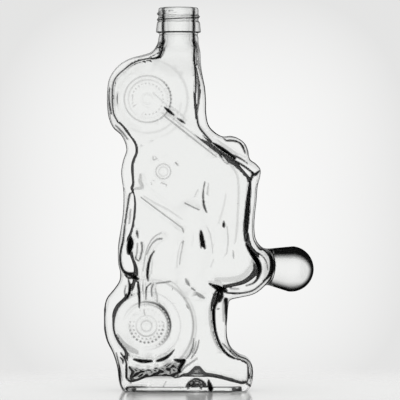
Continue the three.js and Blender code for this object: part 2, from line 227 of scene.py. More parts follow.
# The edge of the body seen from the front, clockwise from the heel below the rear wheel
FRONT_EDGE = [
    (220, 2.5), (206, 1.4), (190, 0), (170, 0), (154, 1.4), (140, 2), (126, 2.2), (112, 2.1), (98, 2.1),
]
REAR_EDGE = [(200, 0), (180, 0.2), (158, 2.1), (145, 3.7), (131, 4.2)]
NECK_ROOT = (0, SHOULDER_TOP)
NECK_EDGE = [
    (-17.6, -5.2), (-NECK_RADIUS - 0.8, -1.5), (-7, 1), (7, 1), (NECK_RADIUS - 0.1, -4),
    (NECK_RADIUS + 0.6, -11.5), (NECK_RADIUS + 2, -18.5),
]
OUTER_EDGE = [
    (-37.8, 7), (-39, 16), (-41.6, 24.5),
    *around(REAR_HUB, REAR_TYRE_RADIUS, REAR_EDGE),
    (-37.4, 70.7), (-36.9, 75.5), (-38.1, 81.5), (-38.2, 93), (-36.6, 103.5),
    (-35.2, 113.5), (-34.9, 127), (-36.3, 139.5), (-35, 147.5), (-33, 154), (-36, 162.6),
    *around(FRONT_HUB, FRONT_TYRE_RADIUS, FRONT_EDGE),
    *near(NECK_ROOT, NECK_EDGE),
    (16.8, 194.4), (17.6, 184.6), (17.7, 177.5), (19.3, 169.5), (23.4, 164.9),
    (28.2, 162.3), (33.5, 162.6), (38.3, 161), (42.4, 157.7), (44.3, 153.5),
    *near(HANDLEBAR, [(-0.4, 6.3), (3.3, 3.5), (6.2, -0.2), (6, -4.7)]),
    (50.5, 131), (49.7, 121), (48.6, 111), (48.4, 102.7), (49.6, 96.5),
    *near(NAPE, [(0, 11.7), (5, 7.7), (7, -0.3), (5, -8.3)]),
    (52.3, 64.7), (47.2, 61.7), (39, 59.8),
    (32.8, 58), (31.7, 54), (31.2, 47), (30.7, 40.2), (31.4, 33.1),
    (34, 27), (38.8, 23.2), (43.6, 21.2), (46.4, 18.2), (47.5, 13.5), (47.2, 7.5), (46.2, 3.6), (43.6, 0.4),
    (38, -HEEL_DIP / 3), (4, -HEEL_DIP), (-26, -HEEL_DIP / 3), (-32.4, -0.8), (-35.6, 1), (-37, 3.6),
]

# The edge of the hollow, in the same order. It closes itself below the floor and runs up into the bore.
INNER_EDGE = [
    (-32.7, 8.8), (-32.7, 14.6), (-33.3, 21.2), (-34.3, 25.7), (-38.2, 31), (-41.2, 37.5), (-42, 44),
    (-41.5, 50.6), (-38.8, 55.7), (-34.3, 59.7), (-30.1, 65.5), (-28, 71.3), (-27.5, 78.5), (-29.8, 85.7),
    (-31.4, 91.6), (-32, 96.8), (-30.4, 101.4), (-29.1, 106.6), (-28.1, 114.4), (-27.8, 121),
    (-28.4, 126.1), (-30.1, 129.4), (-29.1, 132.1), (-29.1, 135.3), (-29.6, 140.5), (-29.4, 145.1),
    (-28.1, 149), (-26.9, 151.9), (-27.1, 156.5), (-29.1, 160.4), (-32.3, 164.9), (-35.6, 168.9),
    (-38.8, 172.2), (-41.2, 177.3), (-41.6, 184.6), (-41.5, 192.4), (-40.5, 197.6), (-38.2, 201.5),
    (-34.3, 204.8), (-29.1, 208.7), (-23.9, 210.7), (-17.3, 211.8), (-12.8, 213.4), (-10.2, 216.6),
    (-9.4, 221), (-9.3, 229), (0, 239), (9.3, 229), (9.4, 221), (9.9, 214), (10.8, 208), (11.1, 201.5),
    (11, 194), (10.8, 187.8), (11.4, 178.7), (12.7, 168.9), (14.5, 165.7), (21.2, 158.8), (27, 154.2),
    (31.7, 151), (39.4, 143.4), (45.4, 134.7), (45.2, 124.9), (44.8, 115.1), (44, 106.6), (44.4, 99.4),
    (45.8, 92.9), (49.5, 86.3), (50.5, 80.4), (49.5, 76), (46.7, 72.6), (41.5, 69.2), (33.6, 67.2),
    (28, 65.8), (24.6, 62.8), (23, 58.6), (22.3, 54.5), (22.5, 46.6), (23.8, 37.5), (25.7, 31),
    (29.1, 25.7), (34.9, 21.9), (39.8, 20), (43.5, 18), (44.7, 14.5), (44.7, 8), (42.5, 5), (36, -1),
    (4, -3), (-26, 0), (-31.5, 4.5),
]

# Where an edge is rounder than elsewhere: place, how far that reaches, and how much rounder it is
OUTER_ROUNDS = [
    (NAPE, 9, 5), ((0, 222), 8, 9), ((-46, 45), 20, 1.2), ((-37.5, 13), 6, 2.2), ((-40, 200), 20, -1.2),
]
INNER_ROUNDS = [
    ((44, 116), 14, 1.6), ((45, 130), 6, 1), ((50, 82), 7.5, 4.4), ((42, 69), 8, 1.2), ((24, 62), 6, 2),
    ((22, 45), 12, 1.3), ((28, 155), 9, 1.2), ((-28, 75), 4.5, 2.6), ((-31, 93), 4.5, 2.6),
    ((-31, 63), 4.5, 1.4), ((-38, 30), 7, 0.6), ((11.5, 196), 12, 0.7), ((43, 12), 7, -0.4),
    ((39, 20.5), 4, -0.5), ((0, 220), 8, 7.4), ((-34, 200), 13, -0.7), ((-28, 146), 12, 0.5),
    ((-43, 44), 12, -0.5),
]

# Where the painted edge shade is paler than elsewhere: place, how far that reaches, and how much paler it
# is
PALE_EDGES = [
    ((-34, 150), 9, 0.7), ((-36, 128), 16, 0.7), ((-37, 104), 13, 0.7), ((48, 118), 14, 0.8),
    ((48, 100), 8, 0.7), ((42, 58), 9, 0.8), ((54, 66), 5, 0.5), ((44, 15), 8, 0.8), ((38, 3), 10, 0.6),
    ((0, 222), 10, 0.2), ((13.6, 213), 7, 0.7), ((12, 1), 22, 0.55), ((-26, 1), 14, 0.6),
    ((-30, 208), 10, 0.35),
]

# Fine grooves, with painted shade for the light they trap: the tone, from 0 for clear to 1 for black, then
# places with half widths
GROOVES = {
    # Along the left edge
    "edge loop": (
        0.97, (-29.4, 126.6, 0.7), (-30.9, 125, 0.8), (-32.4, 116, 0.8), (-33.7, 107, 0.8), (-35, 96, 0.9),
        (-36.6, 89, 1.1), (-36.8, 83, 1.2), (-35.4, 77.8, 1.3), (-32.5, 75.6, 1.2), (-29, 75.4, 1),
    ),
    "loop middle": (0.55, (-30.2, 116, 0.6), (-30.6, 112, 0.7), (-31, 107, 0.6)),
    "loop foot": (0.92, (-33.5, 74.6, 0.8), (-31.6, 72.4, 1), (-28, 72.6, 1.1), (-25.4, 71.6, 1)),
    "hip edge": (1, (-31.6, 71.5, 0.7), (-30.8, 67, 1.2), (-31.2, 62.5, 1.4), (-32.5, 59, 0.8)),
    "hip wedge": (1, (-34.6, 76, 0.7), (-31.2, 74.4, 1.3), (-28, 73.4, 1.3), (-25.4, 72.2, 0.8)),
    "hip outside": (0.55, (-33.4, 67.5, 0.6), (-34, 64, 0.8), (-33.8, 60.5, 0.6)),
    "wheel line": (
        0.97, (-17, 211.8, 0.6), (-24, 210.6, 0.7), (-29.4, 208.5, 0.8), (-34.4, 204.6, 0.7),
        (-38.4, 201, 0.7), (-41, 196.6, 0.7), (-41.8, 190, 0.7), (-41.7, 183, 0.7), (-40.8, 176.4, 0.7),
        (-38, 171, 0.7),
    ),
    "front edge": (0.75, (-43.6, 193, 0.7), (-44, 187, 0.9), (-43.4, 181, 1), (-42.6, 176.5, 0.7)),
    "front edge foot": (
        0.55, (-40, 169.5, 0.7), (-37, 166.4, 1), (-34.4, 163.6, 0.9), (-32.2, 160.6, 0.8),
    ),
    # Fork, grip, lamp and the end of the handlebar
    "fork oval": (0.97, (-8.8, 180.8, 0.7), (-6, 178.4, 1.5), (-2.8, 175.8, 0.9)),
    "lower fork oval": (0.85, (-0.8, 173.8, 0.6), (1.6, 172.4, 1.2), (4.2, 170.6, 0.8)),
    "fork lower edge": (0.3, (-9, 175.4, 0.8), (0, 168.4, 0.9), (10, 160.4, 0.9), (24, 149.4, 0.8)),
    "fork lower line": (0.16, (-6, 176, 0.7), (4, 168, 0.8), (14, 160, 0.8), (23, 153, 0.7)),
    "fork middle": (0.1, (-16, 190, 0.8), (-10, 184.6, 0.8), (-7.6, 182.4, 0.7)),
    "fork upper edge": (0.12, (-4.4, 181.4, 0.7), (4, 174.8, 0.7)),
    "grip capsule": (
        0.45, (26, 150.6, 0.7), (27.4, 150.8, 0.6), (31.4, 146, 0.6), (31.2, 144.8, 0.7), (28.6, 147, 0.6),
        (26, 150.4, 0.7),
    ),
    "grip shadow": (
        0.97, (21.4, 158.4, 0.7), (25, 156.2, 1.5), (29, 153.6, 1.7), (33, 150.8, 1.5), (36, 148.4, 1.2),
    ),
    "grip top": (0.75, (34.4, 150.6, 0.9), (38, 149, 1), (41.4, 147, 0.8), (44, 145, 0.6)),
    "grip foot": (0.92, (35.6, 147, 0.9), (39.6, 144.8, 0.9), (43, 142.4, 0.9), (46, 140, 0.9)),
    "lamp loop": (
        0.92, (28.4, 161.6, 0.6), (30.6, 159.6, 0.8), (35, 159.4, 0.9), (38.6, 158.4, 0.9), (41, 155.4, 1),
        (42.4, 151.6, 0.7),
    ),
    "lamp top": (0.45, (30.4, 161.8, 0.6), (36, 161.6, 0.6)),
    "lamp side": (0.55, (42, 157.2, 0.6), (43.6, 154.4, 0.8), (44, 150.6, 0.7)),
    "bar end": (0.97, (46.6, 139.4, 1.1), (48.4, 138, 1.4), (51.6, 140.4, 0.9)),
    "bar end foot": (0.92, (47, 137.6, 1.2), (45.8, 134, 1), (45.6, 131, 0.8)),
    # Bore and neck
    "bore left": (
        0.95, (-9.8, 241, 0.7), (-9.8, 232, 0.8), (-9.9, 222, 0.9), (-10.4, 217, 1), (-13, 212.6, 1.1),
        (-17, 211.4, 0.6),
    ),
    "bore right": (
        0.97, (9.8, 242, 0.7), (9.8, 232, 0.8), (9.9, 220, 0.9), (10.3, 210, 0.9), (11, 200, 0.9),
        (11, 190, 0.8),
    ),
    "neck shade": (
        0.7, (11.4, 206, 0.6), (12.6, 198, 0.9), (13.2, 191, 1.3), (12.8, 184, 1), (12, 176, 0.6),
    ),
    "neck foot shade": (0.6, (12, 176, 0.8), (13, 169, 1.1), (17, 163.4, 1.1), (20.4, 160, 0.8)),
    # Arm and nape
    "arm outer line": (
        0.9, (46, 133, 0.8), (45.2, 122, 0.9), (44.6, 111, 0.9), (43.9, 104, 0.8), (43.4, 98, 0.8),
    ),
    "arm inner line": (
        0.9, (45.4, 134, 0.8), (43.8, 125, 0.8), (42.3, 112, 0.9), (41.7, 103, 0.9), (42.4, 96, 0.9),
    ),
    "arm shade": (
        0.6, (45, 130, 0.8), (44.2, 119, 1.2), (43.4, 111, 1.4), (42.8, 103, 1.4), (43.2, 95, 1.2),
    ),
    "arm front seam": (
        0.12, (31, 146.4, 0.8), (36.2, 140, 1.1), (38.2, 132.7, 1.1), (38, 117.4, 1.1), (37.2, 103.5, 1.1),
        (36, 94, 0.8),
    ),
    "sleeve seam": (0.08, (30.4, 126, 0.9), (28.6, 117, 1), (25.6, 107, 0.8)),
    "nape arc": (
        1, (50.2, 96.6, 0.7), (52.4, 92.8, 0.9), (56, 89, 1.2), (58.8, 85.6, 1.8), (60, 81, 2.5),
        (59.4, 76.8, 2.3), (57.2, 73.2, 1.5), (54, 70.4, 0.8),
    ),
    "nape inner band": (
        1, (43.2, 94, 1.1), (44.8, 90.6, 1.5), (47.4, 86.8, 2), (50.4, 82.4, 2.3), (51.8, 77.6, 1.8),
        (50.6, 72.8, 1.2), (47.6, 69.2, 0.8), (43, 67.4, 0.6),
    ),
    "nape line": (0.8, (49.8, 89, 0.6), (53.4, 86.4, 0.7), (56, 82.4, 0.7), (56.8, 77.6, 0.6)),
    # Leg, sleeve and torso
    "shin lower edge": (
        0.4, (-23.6, 123.6, 0.7), (-13, 115.6, 0.7), (0, 106, 0.7), (2.6, 104, 0.8), (3.3, 101.4, 0.7),
    ),
    "shin upper edge": (0.1, (-22, 124.4, 0.7), (-14, 119.6, 1), (-6, 115.4, 1), (2.6, 109.6, 0.7)),
    "knee": (0.55, (4.2, 120, 0.7), (9, 117.6, 0.7), (13.2, 115.7, 0.7)),
    "thigh front": (0.3, (3.2, 95.8, 0.8), (2.4, 91, 0.7), (1.4, 86, 0.7), (0.8, 81, 0.6)),
    "thigh edge": (0.1, (0.9, 92, 0.7), (-0.4, 86, 0.8), (-1.2, 76, 0.7)),
    "thigh spot": (0.4, (2.2, 94.8, 0.7), (3.2, 95.8, 0.8)),
    "thigh back": (0.17, (17.4, 106.4, 0.6), (20, 101, 0.7), (21.4, 94, 0.7), (22, 88, 0.6)),
    "thigh foot": (0.1, (22.4, 84, 0.8), (20, 78, 0.8)),
    "thigh oval": (1, (14.4, 102, 1.2), (14.9, 98, 2), (15.6, 94.4, 2), (16.9, 91.2, 0.9)),
    "oval foot": (1, (14.4, 95.6, 1), (14.4, 91.6, 0.7)),
    "sleeve fold": (
        0.8, (16.9, 133.4, 0.6), (15.8, 127, 0.8), (15.9, 121.6, 1), (16.6, 117.6, 1.1), (18, 114, 0.7),
    ),
    "second fold": (0.22, (19.3, 132.6, 0.6), (18.8, 129, 0.8), (18.2, 125.4, 0.6)),
    "short fold": (0.15, (12.4, 128.4, 0.8), (10.4, 124, 0.7)),
    "pocket drop": (0.97, (28.9, 108.4, 0.6), (28.9, 106, 1.4), (29, 104.6, 0.8)),
    "side fold": (0.32, (34.8, 90, 0.5), (35, 87.2, 0.9), (35.1, 84.6, 0.5)),
    "side seam": (0.16, (31, 105, 0.8), (31.6, 96, 0.8), (30.6, 87, 0.7)),
    "torso shade": (
        0.12, (24, 71.6, 1.6), (33, 71.4, 2.2), (41, 73.6, 2.2), (46, 79.6, 1.8), (47, 84, 1.2),
    ),
    # Exhaust, frame and swing arm
    "exhaust upper": (
        0.3, (-11, 101, 0.7), (-14.6, 99, 0.7), (-18, 95, 0.7), (-20.6, 88, 0.7), (-22.2, 77, 0.6),
    ),
    "exhaust lower": (0.5, (-10.4, 97.3, 0.9), (-13.6, 96.8, 0.8), (-17, 93.6, 0.7), (-20, 87.4, 0.6)),
    "exhaust leaf": (
        0.97, (-15.3, 89.4, 0.7), (-17.4, 86, 1), (-18.9, 81, 1.2), (-19.5, 75, 1.2), (-19.1, 70.6, 0.7),
    ),
    "exhaust line": (0.15, (-16.4, 83, 0.6), (-16.8, 75, 0.6)),
    "left blob": (1, (-30, 98.6, 0.8), (-30.2, 95.2, 2.5), (-30.8, 91.6, 2.6), (-31.6, 87.8, 1.2)),
    "frame spot": (0.75, (-26.2, 103, 0.7), (-26, 100.6, 1.1), (-25.6, 98, 0.7)),
    "frame leaf": (0.7, (-23.2, 95, 0.9), (-23, 90, 0.8), (-24.4, 84.2, 0.9)),
    "frame line": (0.5, (-25.8, 94.6, 0.6), (-26.2, 89, 0.7), (-26.8, 85, 0.7), (-25, 83.2, 0.8)),
    "chain guard": (0.5, (-14, 69, 0.8), (-9, 69.6, 0.9), (-5, 70.2, 0.8)),
    "fender": (0.12, (-5, 70.2, 0.8), (-2, 68.6, 0.9), (1, 65, 0.9), (5.6, 59, 0.8)),
    "arm left": (1, (-25.4, 70, 0.9), (-24.9, 64, 1.2), (-24.7, 58, 1.1), (-24.8, 53.6, 0.6)),
    "arm middle": (0.75, (-17.4, 69, 0.7), (-20, 66, 0.7), (-20.6, 58.6, 0.6)),
    "arm right": (0.55, (-15.8, 68.6, 0.8), (-16.9, 65.6, 0.9), (-16.6, 60.6, 0.7)),
    "arm far right": (0.25, (-14.6, 65.6, 0.8), (-13.4, 60, 1), (-13.8, 54.6, 0.7)),
    # Engine
    "crank spot": (0.4, (-1.8, 145.8, 0.7), (-0.4, 144.2, 0.8)),
    "sump line": (0.32, (-11, 132.8, 0.6), (-8, 131.8, 0.6), (-7.2, 130.6, 0.9)),
    "sump loop": (0.2, (-15, 134.4, 0.6), (-17.6, 134, 0.6), (-16.8, 131.8, 0.7)),
    "head mark": (0.25, (-16, 149.6, 0.6), (-15.6, 147.4, 0.8), (-13, 148.6, 0.6)),
    "head mark top": (0.15, (-12, 151, 0.6), (-7.4, 150, 0.7)),
    "engine cover": (0.09, (-23.4, 156.4, 1.2), (-22, 158.4, 0.8), (-16, 159.6, 0.8)),
    "lower cover": (0.2, (-23.8, 138, 1.2), (-24.2, 134, 1.6), (-23, 130, 1.6), (-28, 129, 1)),
    # Rear wheel
    "hub mark": (0.32, (-21.8, 52.2, 0.6), (-21.3, 49, 0.7)),
    "brake edge": (0.5, (-12.6, 56.6, 0.6), (-8.6, 53, 0.8), (-6.2, 48.6, 0.7), (-5.2, 44.6, 0.6)),
    "tyre foot left": (1, (-28, 20.8, 1), (-24, 19.8, 1.6), (-20.4, 19.6, 1.6), (-17, 19.7, 1.2)),
    "tyre foot right": (1, (-13.6, 19.8, 1.1), (-9.6, 21, 1.6), (-6, 23.2, 1.3), (-2.6, 26.8, 0.6)),
    "tyre shade": (0.22, (-38.4, 36, 1.4), (-35.4, 31, 2.2), (-31, 27.6, 2.4), (-26, 25.2, 1.8)),
    "tyre spot": (0.45, (5, 55.6, 0.5), (5.8, 54, 0.8), (6.6, 52.8, 0.5)),
    "tread marks": (0.7, (9.8, 34, 0.6), (9.2, 28.6, 0.8), (7.6, 24.6, 0.8), (5.4, 21.4, 0.7)),
    "outer tread marks": (0.55, (13.2, 33, 0.6), (11.8, 27, 0.8), (8.2, 21.4, 0.7)),
    "middle tread marks": (0.4, (11.4, 32, 0.6), (10.4, 27.6, 0.8), (9, 24.8, 0.6)),
    # Seat and stem
    "seat shadow": (1, (19.6, 68.8, 0.8), (22.6, 67.4, 1.7), (25.8, 65.8, 2.5), (30, 64.2, 1.8)),
    "shadow foot": (1, (27.4, 64, 1.5), (27.6, 61, 1.6), (26.2, 57.6, 1.2)),
    "seat fill": (1, (25.4, 62.6, 1.5), (25, 59, 1.4), (23.8, 55.4, 1.2)),
    "cushion folds": (0.5, (8.6, 66, 0.9), (10.4, 64.6, 0.9)),
    "lower fold": (0.4, (11.4, 63, 1.1), (13.6, 61.4, 1.7), (16.4, 59.8, 1.1)),
    "cushion front": (0.4, (4.8, 71.6, 1), (5.8, 69.6, 1.5), (7, 67.8, 1)),
    "back of seat": (
        0.92, (31, 63, 0.8), (40, 62.9, 0.8), (46.6, 64.2, 0.8), (51, 67, 0.8), (55.6, 71.2, 0.8),
    ),
    "seat stitch": (0.45, (33, 65.8, 0.7), (36, 65.6, 0.8), (38.6, 65.6, 0.6)),
    "stem wedge": (1, (30.2, 58.6, 1.9), (30.4, 53, 1.5), (30.4, 47, 1), (30.2, 42.6, 0.6)),
    "stem line": (
        1, (26.6, 61, 1.1), (24.6, 57.4, 1.2), (23, 54, 1.4), (22.4, 50, 1.6), (22.7, 44, 1.5),
        (23.7, 38, 1.3), (25.6, 32, 1.2), (28.4, 26.8, 1.2), (32, 23.2, 1.1), (36, 21.2, 0.8),
    ),
    "stem shade": (0.2, (20.8, 57, 1), (20, 50, 1.3), (20.9, 40, 1.2), (23.8, 31, 1.2), (27.6, 25.6, 1)),
    "wedge shade": (0.25, (28.8, 57, 1.4), (28.8, 51, 1.4), (28.8, 45, 1)),
    "stem spot": (0.75, (25, 52.6, 0.8), (25.8, 52.9, 0.7)),
    # Foot and base
    "foot edge": (
        0.95, (-39.4, 25, 0.6), (-37.6, 16, 0.8), (-37, 8, 0.9), (-36.2, 4, 0.9), (-34.4, 1.4, 0.8),
    ),
    "foot inner edge": (
        0.95, (-36.4, 25, 0.6), (-33.2, 19.4, 0.9), (-32.8, 13, 1), (-32.6, 9, 1), (-30, 6, 0.8),
    ),
    "foot curl": (0.85, (-36.6, 22, 0.6), (-35, 20.2, 0.9), (-35.2, 18, 0.6)),
    "ankle lines": (0.5, (28, 31, 0.7), (31.6, 27.4, 0.9), (35.6, 24, 0.9), (38, 22.4, 0.6)),
    "toe inner line": (0.9, (43.6, 18.6, 0.6), (44.2, 15, 0.7), (44, 9, 0.7), (43.4, 5.4, 0.6)),
    "toe outer line": (0.6, (46.4, 18.4, 0.6), (47, 13, 0.7), (46.7, 8, 0.6)),
    "toe foot": (0.9, (43.4, 5.6, 0.9), (46, 3.4, 1), (46.4, 2, 0.7)),
    "floor wedge": (
        0.97, (-2.6, 20.6, 0.8), (1, 19.8, 1.9), (4.4, 20.2, 1), (1.6, 16.6, 1.9), (-0.2, 11.6, 0.8),
    ),
    "wedge edge": (0.5, (1, 12.4, 0.7), (5, 16.4, 0.8), (12, 21.4, 0.7)),
    "base line": (0.3, (-33.6, 1, 0.6), (-24, 0.8, 0.6), (-4, 0.8, 0.6)),
    "base mark": (0.25, (-9.4, 3.6, 0.7), (-7.8, 6.8, 0.7)),
    "recess line": (0.9, (-32.4, 3.2, 0.7), (-26, 3.4, 0.8), (-20, 3.2, 0.6)),
    "faint line": (0.4, (-20, 3.2, 0.6), (-2, 3.1, 0.6), (4, 3.1, 0.5)),
    "push-up blob": (1, (19.2, 7.2, 1), (20, 4.6, 1.9), (20.6, 2, 2.1)),
    "push-up arc": (0.7, (5, 4.2, 0.7), (7, 6.6, 0.8), (11, 8.2, 0.9), (15.6, 7, 0.8), (18, 4.4, 0.7)),
    "push-up curl": (0.6, (6, 2.4, 0.7), (9, 4.6, 0.9), (12.6, 4.4, 0.9), (14.6, 2.2, 0.7)),
}

# Rings: where, radius, half width, tone of painted shade, how much darker towards one side, and that side
# in degrees
RINGS = [
    (FRONT_HUB, 12.2, 0.8, 0.03, 0.12, 120),
    (FRONT_HUB, 14.8, 0.75, 0.2, 0.2, -15),
    (FRONT_HUB, 21.5, 1.2, 0, 0.08, -60),
    (FRONT_HUB, 25.4, 1.4, 0, 0.1, 10),
    (REAR_HUB, 3.4, 0.8, 0.16, 0, 0),
    (REAR_HUB, 6.6, 0.8, 0.08, 0.2, -90),
    (REAR_HUB, 13.6, 0.7, 0.03, 0.4, 30),
    (REAR_HUB, 15.2, 1, 0.03, 0.97, 32),
    (REAR_HUB, 20.4, 0.8, 0, 0.14, 180),
    (REAR_HUB, 29.8, 1.2, 0, 0.3, 5),
    (REAR_HUB, 31.6, 1, 0, 0.12, -15),
    (ENGINE_COVER, 2.9, 0.6, 0.1, 0, 0),
    (ENGINE_COVER, 4.7, 0.6, 0.22, 0, 0),
]


def smooth_loop(points):
    """A closed centripetal Catmull-Rom curve through the points, as short straight steps."""
    here = np.array(points, float)
    before = np.roll(here, 1, 0)
    after = np.roll(here, -1, 0)
    beyond = np.roll(here, -2, 0)

    def knot(a, b):
        return np.sqrt(np.linalg.norm(b - a, axis=1, keepdims=True))

    first = knot(before, here)
    second = first + knot(here, after)
    third = second + knot(after, beyond)
    steps = []
    for share in np.arange(LOOP_STEPS) / LOOP_STEPS:
        at = first + (second - first) * share
        one = before + (here - before) * at / first
        two = here + (after - here) * (at - first) / (second - first)
        three = after + (beyond - after) * (at - second) / (third - second)
        low = one + (two - one) * at / second
        high = two + (three - two) * (at - first) / (third - first)
        steps.append(low + (high - low) * (at - first) / (second - first))
    return np.stack(steps, 1).reshape(-1, 2)


# Flat maps over the bottle's front view, which the field reads between their places
MAP_LOW = (-48.0, -6.0)
MAP_HIGH = (93.0, 249.0)
map_x = np.arange(MAP_LOW[0], MAP_HIGH[0], MAP_STEP)[:, None]
map_z = np.arange(MAP_LOW[1], MAP_HIGH[1], MAP_STEP)[None, :]
map_shape = (map_x.size, map_z.size)


def edge_distance(points):
    """Distance from each place of the map to a closed edge, negative inside it."""
    loop = smooth_loop(points)
    nearest = np.full(map_shape, 1e9)
    inside = np.zeros(map_shape, bool)
    for (ax, az), (bx, bz) in zip(loop, np.roll(loop, -1, 0)):
        along_x, along_z = bx - ax, bz - az
        length = along_x**2 + along_z**2
        share = np.clip(((map_x - ax) * along_x + (map_z - az) * along_z) / length, 0, 1)
        gap = (map_x - ax - share * along_x) ** 2 + (map_z - az - share * along_z) ** 2
        np.minimum(nearest, gap, out=nearest)
        if along_z:
            crosses = (az > map_z) != (bz > map_z)
            inside ^= crosses & (map_x < ax + along_x * (map_z - az) / along_z)
    distance = np.sqrt(nearest)
    return np.where(inside, -distance, distance)


def softened(values, reach):
    """A map blurred over a short reach, as a mould softens its own detail."""
    count = max(1, round(reach * 3 / MAP_STEP))
    places = np.arange(-count, count + 1) * MAP_STEP
    weights = np.exp(-0.5 * (places / reach) ** 2)
    weights /= weights.sum()
    padded = np.pad(values, count, mode="edge")
    rows = sum(w * padded[i:i + values.shape[0], :] for i, w in enumerate(weights))
    return sum(w * rows[:, i:i + values.shape[1]] for i, w in enumerate(weights))


def read_map(values, x, z):
    """The map's value at any places."""
    across = np.clip((x - MAP_LOW[0]) / MAP_STEP, 0, values.shape[0] - 1.001)
    up = np.clip((z - MAP_LOW[1]) / MAP_STEP, 0, values.shape[1] - 1.001)
    i, j = across.astype(int), up.astype(int)
    a, b = across - i, up - j
    low = values[i, j] * (1 - a) + values[i + 1, j] * a
    high = values[i, j + 1] * (1 - a) + values[i + 1, j + 1] * a
    return low * (1 - b) + high * b


def rise(value, width):
    """0 below the middle and 1 above it, with a smooth step as wide as given."""
    share = np.clip(value / width + 0.5, 0, 1)
    return share * share * (3 - 2 * share)


def bump(share):
    return np.clip(1 - share**2, 0, None) ** 2


def from_place(place):
    return np.hypot(map_x - place[0], map_z - place[1])


def from_line(start, end, x, z):
    """Distance from a straight line between two places, and how far along it the nearest point is."""
    along_x, along_z = end[0] - start[0], end[1] - start[1]
    length = max(along_x**2 + along_z**2, 1e-9)
    share = ((x - start[0]) * along_x + (z - start[1]) * along_z) / length
    share = np.clip(share, 0, 1)
    gap = np.hypot(x - start[0] - share * along_x, z - start[1] - share * along_z)
    return gap, share


def bar(start, end, half_width, height, edge):
    """A flat-topped bar with sloping sides."""
    return height * rise(half_width - from_line(start, end, map_x, map_z)[0], edge)


def ring(hub, radius, half_width, height):
    return height * bump((from_place(hub) - radius) / half_width)


def disc(hub, radius, height, edge):
    return height * rise(radius - from_place(hub), edge)


def dots(hub, radius, count, size, tone):
    """Small round marks of painted shade on a circle."""
    angle = np.arctan2(map_z - hub[1], map_x - hub[0])
    step = 2 * math.pi / count
    off = (angle / step - np.round(angle / step)) * step * radius
    return tone * bump(np.hypot(off, from_place(hub) - radius) / size)


def oval(place, half_length, half_width, height):
    """An upright oval mark."""
    along = (map_z - place[1]) / half_length
    aside = (map_x - place[0]) / half_width
    return height * bump(np.hypot(along, aside))


def smooth_path(points):
    """An open Catmull-Rom curve through the points, as short straight steps."""
    first, last = points[0], points[-1]
    path = np.array([first, *points, last], float)
    path[0] = 2 * path[1] - path[2]
    path[-1] = 2 * path[-2] - path[-3]
    places = []
    for a, b, c, d in zip(path, path[1:], path[2:], path[3:]):
        for t in np.arange(PATH_STEPS) / PATH_STEPS:
            bend = (2 * a - 5 * b + 4 * c - d) * t**2 + (3 * b - a - 3 * c + d) * t**3
            places.append(b + 0.5 * ((c - a) * t + bend))
    places.append(path[-2])
    return places


def cells(start, end, reach, map_start):
    """The cells of the map from one place to another and a little beyond, along one axis."""
    first = int((min(start, end) - reach - map_start) / MAP_STEP)
    last = int((max(start, end) + reach - map_start) / MAP_STEP) + 2
    return slice(max(first, 0), last)


def groove(tone, *points):
    """How much painted shade a fine groove carries at each place of the map, for the light it traps."""
    trapped = np.zeros(map_shape)
    path = smooth_path(points)
    for (ax, az, start_half), (bx, bz, end_half) in zip(path, path[1:]):
        reach = max(start_half, end_half) + MAP_STEP
        across = cells(ax, bx, reach, MAP_LOW[0])
        up = cells(az, bz, reach, MAP_LOW[1])
        gap, share = from_line((ax, az), (bx, bz), map_x[across], map_z[:, up])
        half = GROOVE_NARROWING * (start_half + (end_half - start_half) * share)
        dark = tone * rise(half - GROOVE_BLUR / 2 - gap, GROOVE_BLUR)
        trapped[across, up] = np.maximum(trapped[across, up], dark)
    return trapped


def ridge_path(points, half_width, height):
    """A smooth swelling along several places."""
    gap = np.full(map_shape, 1e9)
    for start, end in zip(points, points[1:]):
        gap = np.minimum(gap, from_line(start, end, map_x, map_z)[0])
    return height * bump(gap / half_width)


def roundness(plain, places):
    """A plain value over the whole map, with more or less of it round some places."""
    extra = sum(more * np.exp(-0.5 * (from_place(place) / reach) ** 2) for place, reach, more in places)
    return plain + extra


def wheel_relief(hub, rim_radius):
    tyre = disc(hub, rim_radius + TYRE_WIDTH, TYRE_LIFT, edge=2.4)
    rim = disc(hub, rim_radius - RIM_LIP, RIM_DIP, edge=2.6)
    brake = ring(hub, BRAKE_RADIUS, half_width=1.4, height=BRAKE_DIP)
    return tyre - rim - brake + disc(hub, HUB_CAP_RADIUS, HUB_CAP_LIFT, edge=1.2)


def ring_groove(hub, radius, half_width, tone, more, towards):
    """A fine groove round a hub with painted shade, darker by some more towards one side, in degrees."""
    angle = np.arctan2(map_z - hub[1], map_x - hub[0]) - math.radians(towards)
    tone = tone + more * (0.5 + 0.5 * np.cos(angle)) ** 3
    return tone * bump((from_place(hub) - radius) / half_width)


def right_of(hub, reach, bend):
    """0 by a hub and 1 beyond a reach to its right."""
    return rise(map_x - hub[0] - reach, bend)


def wheel_dots():
    """Rows of dots of painted shade on both wheels. Some show only right of the hub, or mostly below it."""
    below_hub = DOTS_ABOVE_HUB + (1 - DOTS_ABOVE_HUB) * rise(REAR_HUB[1] + 1 - map_z, 8)
    return [
        dots(FRONT_HUB, 9.9, count=26, size=0.8, tone=0.22),
        dots(FRONT_HUB, 14.9, count=40, size=0.9, tone=0.85) * right_of(FRONT_HUB, 10, 8),
        dots(REAR_HUB, 8.4, count=20, size=0.9, tone=0.35) * below_hub,
        dots(REAR_HUB, 10.6, count=26, size=1, tone=0.7) * below_hub,
        dots(REAR_HUB, 14.2, count=40, size=0.7, tone=0.9) * right_of(REAR_HUB, 7, 6),
        dots(REAR_HUB, 21.6, count=88, size=0.8, tone=0.16),
    ]


def engine_relief():
    cover = disc(ENGINE_COVER, radius=5.2, height=0.3, edge=1.2)
    bolt = disc((-1, 145), radius=1, height=0.5, edge=0.9)
    lower_cover = oval((-22.9, 133.6), half_length=6, half_width=2.4, height=0.6)
    return cover + bolt + lower_cover


